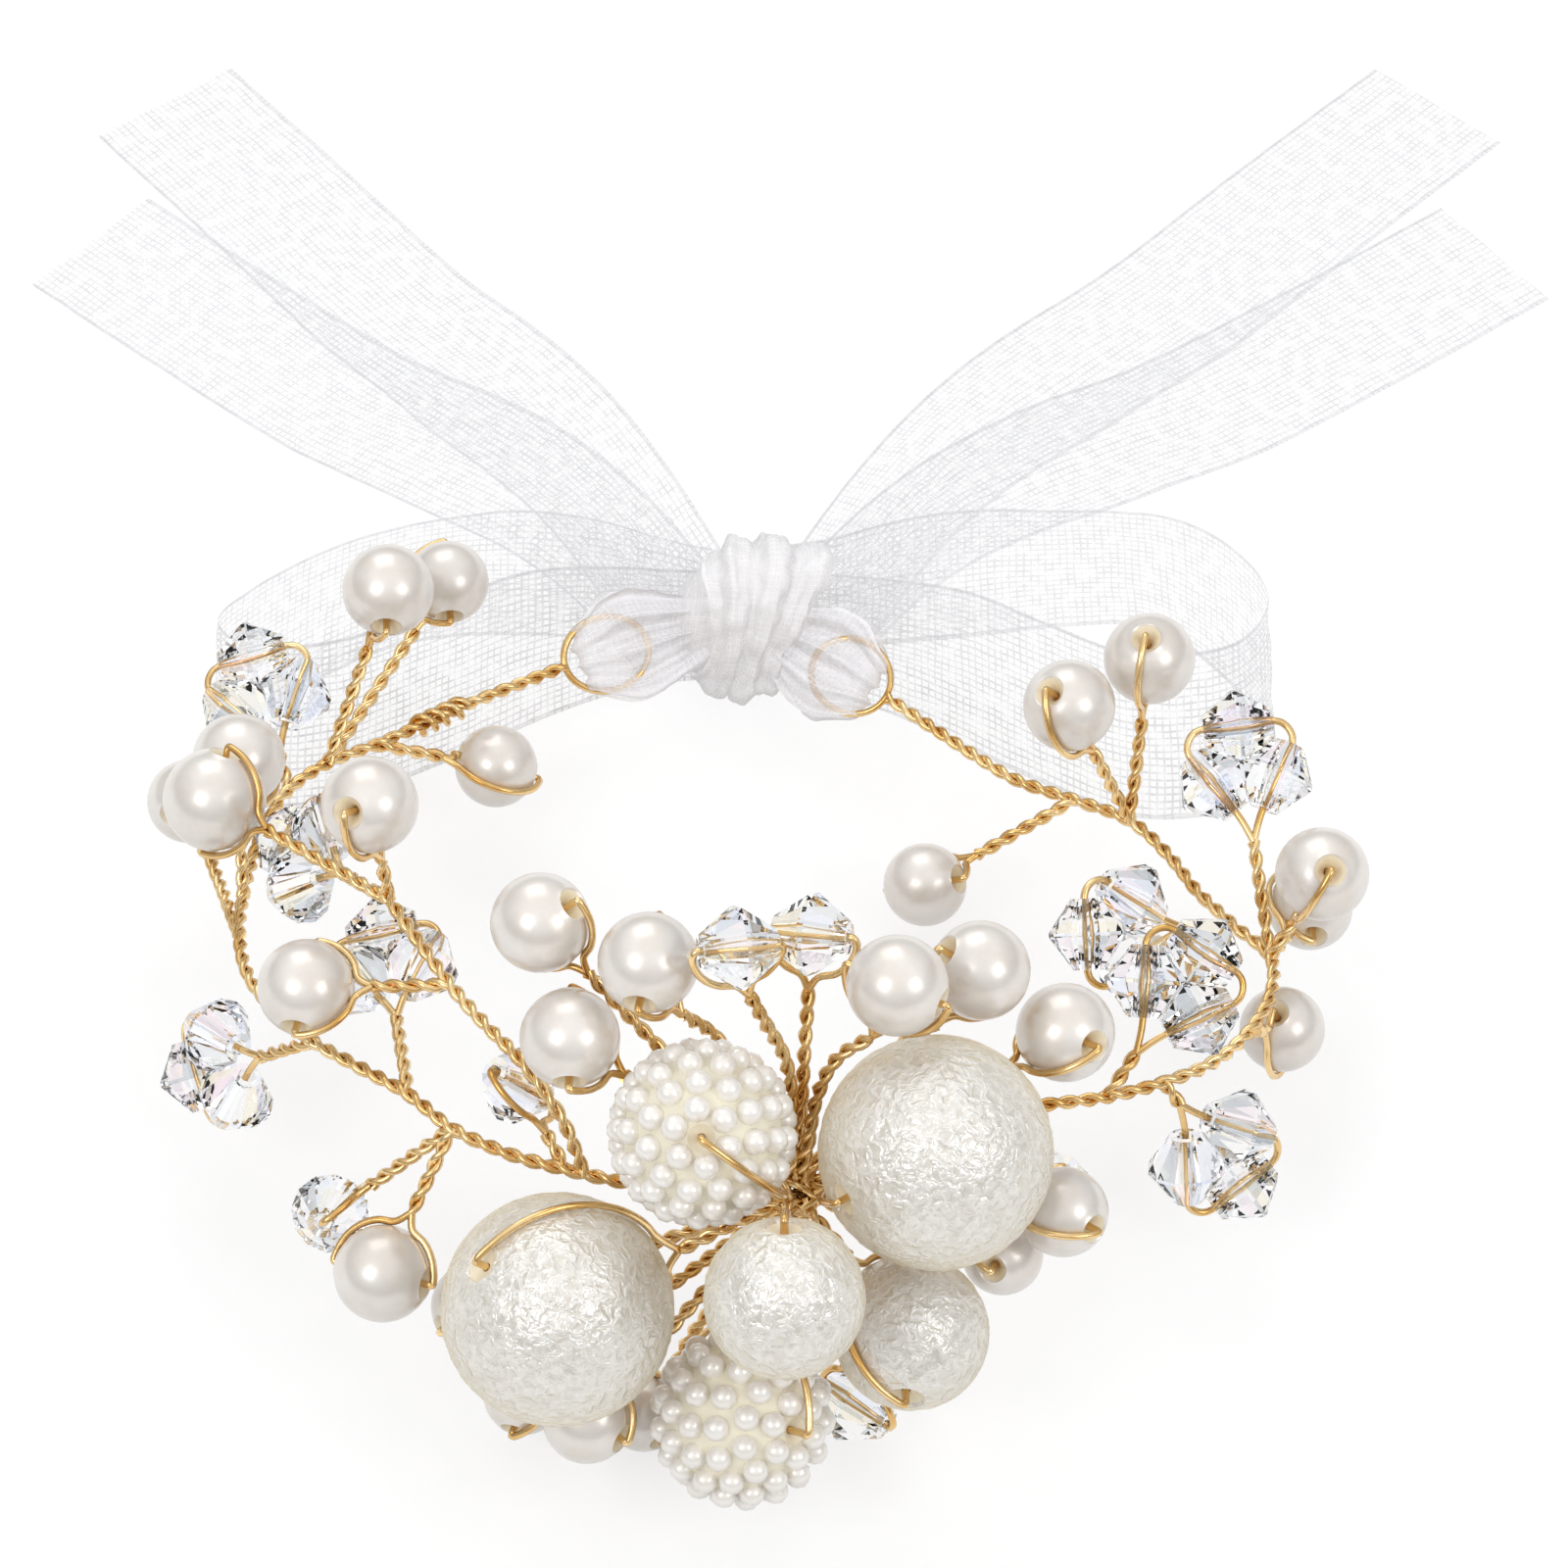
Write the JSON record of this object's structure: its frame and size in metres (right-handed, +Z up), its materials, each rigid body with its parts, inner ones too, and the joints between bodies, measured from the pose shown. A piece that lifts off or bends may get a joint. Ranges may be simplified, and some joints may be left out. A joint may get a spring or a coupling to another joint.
{
  "type": "wrist corsage",
  "caption": "Twisted gold wire vine bent into a wrist ring, set with turning pearls, crinkled beads, berry beads and clear crystals, tied at the back by a sheer ribbon bow.",
  "frame": {"origin": "middle of the footprint, on the table the corsage lies on", "axes": "+X to the wearer's right as pictured, +Y from the bead cluster to the ribbon tails, +Z up"},
  "size_m": [0.1108, 0.1346, 0.0406],
  "materials": {
    "wire": "bright gold plate",
    "pearl": "glossy ivory pearl",
    "crinkle": "crinkled pearl skin",
    "berry": "pearl studs on a cream core",
    "crystal": "clear, faceted",
    "ribbon": "sheer organza weave"
  },
  "bodies": {
    "corsage": {"crystal_trefoil_left_1": "crystal", "crystal_trefoil_left_2": "crystal", "crystal_trefoil_left_3": "crystal", "crystal_trefoil_left_4": "crystal", "crystal_trefoil_right_1": "crystal", "crystal_trefoil_right_2": "crystal", "crystal_trefoil_right_3": "crystal", "crystal_trefoil_right_4": "crystal", "left_vine_wire": "wire", "front_vine_wire": "wire", "right_vine_wire": "wire", "ribbon_knot": "ribbon", "ribbon_tail_left_upper": "ribbon", "ribbon_tail_left_lower": "ribbon", "ribbon_tail_right_upper": "ribbon", "ribbon_tail_right_lower": "ribbon", "ribbon_bow_left": "ribbon", "ribbon_bow_right": "ribbon"},
    "pearl_left_1_body": {"pearl_left_1": "pearl"},
    "pearl_left_2_body": {"pearl_left_2": "pearl"},
    "pearl_left_3_body": {"pearl_left_3": "pearl"},
    "pearl_left_4_body": {"pearl_left_4": "pearl"},
    "pearl_left_5_body": {"pearl_left_5": "pearl"},
    "pearl_left_6_body": {"pearl_left_6": "pearl"},
    "pearl_left_7_body": {"pearl_left_7": "pearl"},
    "pearl_left_8_body": {"pearl_left_8": "pearl"},
    "pearl_left_9_body": {"pearl_left_9": "pearl"},
    "pearl_front_1_body": {"pearl_front_1": "pearl"},
    "pearl_front_2_body": {"pearl_front_2": "pearl"},
    "pearl_front_3_body": {"pearl_front_3": "pearl"},
    "pearl_front_4_body": {"pearl_front_4": "pearl"},
    "pearl_front_5_body": {"pearl_front_5": "pearl"},
    "pearl_front_6_body": {"pearl_front_6": "pearl"},
    "pearl_front_7_body": {"pearl_front_7": "pearl"},
    "pearl_front_8_body": {"pearl_front_8": "pearl"},
    "pearl_front_9_body": {"pearl_front_9": "pearl"},
    "pearl_front_10_body": {"pearl_front_10": "pearl"},
    "pearl_front_11_body": {"pearl_front_11": "pearl"},
    "pearl_front_12_body": {"pearl_front_12": "pearl"},
    "pearl_right_1_body": {"pearl_right_1": "pearl"},
    "pearl_right_2_body": {"pearl_right_2": "pearl"},
    "pearl_right_3_body": {"pearl_right_3": "pearl"},
    "pearl_right_4_body": {"pearl_right_4": "pearl"},
    "pearl_right_5_body": {"pearl_right_5": "pearl"},
    "pearl_right_6_body": {"pearl_right_6": "pearl"},
    "crinkle_bead_large_left_body": {"crinkle_bead_large_left": "crinkle"},
    "crinkle_bead_large_right_body": {"crinkle_bead_large_right": "crinkle"},
    "crinkle_bead_middle_upper_body": {"crinkle_bead_middle_upper": "crinkle"},
    "crinkle_bead_middle_lower_body": {"crinkle_bead_middle_lower": "crinkle"},
    "berry_bead_upper_body": {"berry_bead_upper": "berry"},
    "berry_bead_lower_body": {"berry_bead_lower": "berry"},
    "crystal_left_1_body": {"crystal_left_1": "crystal"},
    "crystal_left_2_body": {"crystal_left_2": "crystal"},
    "crystal_front_1_body": {"crystal_front_1": "crystal"},
    "crystal_front_2_body": {"crystal_front_2": "crystal"},
    "crystal_front_3_body": {"crystal_front_3": "crystal"},
    "crystal_front_4_body": {"crystal_front_4": "crystal"}
  },
  "joints": [
    {"name": "pearl_left_1_turn", "type": "hinge", "parent": "corsage", "child": "pearl_left_1_body", "pos_m": [-0.02622, -0.00328, 0.0208], "axis": [0, -0.9848, -0.1736], "continuous": true},
    {"name": "pearl_left_2_turn", "type": "hinge", "parent": "corsage", "child": "pearl_left_2_body", "pos_m": [-0.02281, 0.00257, 0.01506], "axis": [0.0842, -0.9623, -0.2588], "continuous": true},
    {"name": "pearl_left_3_turn", "type": "hinge", "parent": "corsage", "child": "pearl_left_3_body", "pos_m": [-0.01965, -0.00586, 0.00602], "axis": [-0.9361, 0.0819, 0.342], "continuous": true},
    {"name": "pearl_left_4_turn", "type": "hinge", "parent": "corsage", "child": "pearl_left_4_body", "pos_m": [-0.03628, -0.02209, 0.02201], "axis": [0.2717, 0.5826, 0.766], "continuous": true},
    {"name": "pearl_left_5_turn", "type": "hinge", "parent": "corsage", "child": "pearl_left_5_body", "pos_m": [-0.03557, -0.01439, 0.01679], "axis": [-0.3368, -0.9254, 0.1736], "continuous": true},
    {"name": "pearl_left_6_turn", "type": "hinge", "parent": "corsage", "child": "pearl_left_6_body", "pos_m": [-0.03947, -0.01212, 0.00987], "axis": [-0.2962, -0.8138, 0.5], "continuous": true},
    {"name": "pearl_left_7_turn", "type": "hinge", "parent": "corsage", "child": "pearl_left_7_body", "pos_m": [-0.02574, -0.02936, 0.03022], "axis": [-0.4096, -0.7094, 0.5736], "continuous": true},
    {"name": "pearl_left_8_turn", "type": "hinge", "parent": "corsage", "child": "pearl_left_8_body", "pos_m": [-0.02968, -0.03745, 0.02241], "axis": [-0.171, -0.9698, -0.1736], "continuous": true},
    {"name": "pearl_left_9_turn", "type": "hinge", "parent": "corsage", "child": "pearl_left_9_body", "pos_m": [-0.0249, -0.05156, 0.01216], "axis": [0.9361, -0.3407, 0.0872], "continuous": true},
    {"name": "pearl_front_1_turn", "type": "hinge", "parent": "corsage", "child": "pearl_front_1_body", "pos_m": [-0.01488, -0.04109, 0.03335], "axis": [0.7044, -0.0616, 0.7071], "continuous": true},
    {"name": "pearl_front_2_turn", "type": "hinge", "parent": "corsage", "child": "pearl_front_2_body", "pos_m": [-0.0131, -0.04678, 0.02949], "axis": [0, -0.9659, -0.2588], "continuous": true},
    {"name": "pearl_front_3_turn", "type": "hinge", "parent": "corsage", "child": "pearl_front_3_body", "pos_m": [-0.00838, -0.04515, 0.03468], "axis": [-0.171, -0.9698, -0.1736], "continuous": true},
    {"name": "pearl_front_4_turn", "type": "hinge", "parent": "corsage", "child": "pearl_front_4_body", "pos_m": [0.00623, -0.04733, 0.03527], "axis": [0.9029, -0.421, -0.0872], "continuous": true},
    {"name": "pearl_front_5_turn", "type": "hinge", "parent": "corsage", "child": "pearl_front_5_body", "pos_m": [0.01133, -0.04241, 0.03043], "axis": [-0.766, 0, 0.6428], "continuous": true},
    {"name": "pearl_front_6_turn", "type": "hinge", "parent": "corsage", "child": "pearl_front_6_body", "pos_m": [0.01653, -0.04345, 0.02571], "axis": [0.5826, -0.6943, 0.4226], "continuous": true},
    {"name": "pearl_front_7_turn", "type": "hinge", "parent": "corsage", "child": "pearl_front_7_body", "pos_m": [0.01649, -0.05079, 0.01749], "axis": [0.683, -0.683, 0.2588], "continuous": true},
    {"name": "pearl_front_8_turn", "type": "hinge", "parent": "corsage", "child": "pearl_front_8_body", "pos_m": [0.01297, -0.0502, 0.01223], "axis": [-0.2962, -0.8138, 0.5], "continuous": true},
    {"name": "pearl_front_9_turn", "type": "hinge", "parent": "corsage", "child": "pearl_front_9_body", "pos_m": [-0.01241, -0.05855, 0.00674], "axis": [0.8192, -0.5736, 0], "continuous": true},
    {"name": "pearl_front_10_turn", "type": "hinge", "parent": "corsage", "child": "pearl_front_10_body", "pos_m": [-0.01649, -0.05474, 0.00372], "axis": [-0.25, -0.933, -0.2588], "continuous": true},
    {"name": "pearl_front_11_turn", "type": "hinge", "parent": "corsage", "child": "pearl_front_11_body", "pos_m": [-0.01942, -0.05115, 0.00807], "axis": [-0.7044, -0.7044, 0.0872], "continuous": true},
    {"name": "pearl_front_12_turn", "type": "hinge", "parent": "corsage", "child": "pearl_front_12_body", "pos_m": [-0.00912, -0.05516, 0.0025], "axis": [0.4981, -0.8627, -0.0872], "continuous": true},
    {"name": "pearl_right_1_turn", "type": "hinge", "parent": "corsage", "child": "pearl_right_1_body", "pos_m": [0.00891, -0.01493, 0.00464], "axis": [0.8365, -0.2241, 0.5], "continuous": true},
    {"name": "pearl_right_2_turn", "type": "hinge", "parent": "corsage", "child": "pearl_right_2_body", "pos_m": [0.01809, -0.01063, 0.01777], "axis": [-0.4967, -0.2868, 0.8192], "continuous": true},
    {"name": "pearl_right_3_turn", "type": "hinge", "parent": "corsage", "child": "pearl_right_3_body", "pos_m": [0.0235, -0.00607, 0.01719], "axis": [-0.1294, -0.2241, 0.9659], "continuous": true},
    {"name": "pearl_right_4_turn", "type": "hinge", "parent": "corsage", "child": "pearl_right_4_body", "pos_m": [0.03375, -0.02397, 0.01687], "axis": [0.0996, -0.5649, 0.8192], "continuous": true},
    {"name": "pearl_right_5_turn", "type": "hinge", "parent": "corsage", "child": "pearl_right_5_body", "pos_m": [0.03374, -0.02046, 0.00908], "axis": [0, -0.9962, 0.0872], "continuous": true},
    {"name": "pearl_right_6_turn", "type": "hinge", "parent": "corsage", "child": "pearl_right_6_body", "pos_m": [0.03155, -0.0291, 0.00741], "axis": [-0.262, -0.2198, 0.9397], "continuous": true},
    {"name": "crinkle_bead_large_left_turn", "type": "hinge", "parent": "corsage", "child": "crinkle_bead_large_left_body", "pos_m": [-0.0139, -0.05794, 0.01747], "axis": [-0.6403, -0.056, 0.766], "continuous": true},
    {"name": "crinkle_bead_large_right_turn", "type": "hinge", "parent": "corsage", "child": "crinkle_bead_large_right_body", "pos_m": [0.00859, -0.05236, 0.02566], "axis": [-0.816, -0.5714, 0.0872], "continuous": true},
    {"name": "crinkle_bead_middle_upper_turn", "type": "hinge", "parent": "corsage", "child": "crinkle_bead_middle_upper_body", "pos_m": [-0.00038, -0.06266, 0.02538], "axis": [0, 0.5, 0.866], "continuous": true},
    {"name": "crinkle_bead_middle_lower_turn", "type": "hinge", "parent": "corsage", "child": "crinkle_bead_middle_lower_body", "pos_m": [0.00728, -0.05629, 0.01272], "axis": [-0.0868, -0.9924, -0.0872], "continuous": true},
    {"name": "berry_bead_upper_turn", "type": "hinge", "parent": "corsage", "child": "berry_bead_upper_body", "pos_m": [-0.00521, -0.05233, 0.02752], "axis": [0, -0.6428, 0.766], "continuous": true},
    {"name": "berry_bead_lower_turn", "type": "hinge", "parent": "corsage", "child": "berry_bead_lower_body", "pos_m": [-0.00294, -0.05933, 0.00815], "axis": [0.6634, -0.5567, 0.5], "continuous": true},
    {"name": "crystal_left_1_turn", "type": "hinge", "parent": "corsage", "child": "crystal_left_1_body", "pos_m": [-0.02841, -0.04613, 0.01087], "axis": [-0.133, -0.7544, 0.6428], "continuous": true},
    {"name": "crystal_left_2_turn", "type": "hinge", "parent": "corsage", "child": "crystal_left_2_body", "pos_m": [-0.01653, -0.04336, 0.0204], "axis": [-0.6209, -0.1664, 0.766], "continuous": true},
    {"name": "crystal_front_1_turn", "type": "hinge", "parent": "corsage", "child": "crystal_front_1_body", "pos_m": [-0.00307, -0.04686, 0.03819], "axis": [-0.9513, -0.2549, 0.1736], "continuous": true},
    {"name": "crystal_front_2_turn", "type": "hinge", "parent": "corsage", "child": "crystal_front_2_body", "pos_m": [0.00124, -0.04305, 0.03469], "axis": [0.9513, -0.2549, 0.1736], "continuous": true},
    {"name": "crystal_front_3_turn", "type": "hinge", "parent": "corsage", "child": "crystal_front_3_body", "pos_m": [0.01625, -0.04506, 0.01218], "axis": [0.2241, -0.1294, 0.9659], "continuous": true},
    {"name": "crystal_front_4_turn", "type": "hinge", "parent": "corsage", "child": "crystal_front_4_body", "pos_m": [0.00415, -0.05536, 0.00348], "axis": [0.766, -0.6428, 0], "continuous": true}
  ]
}
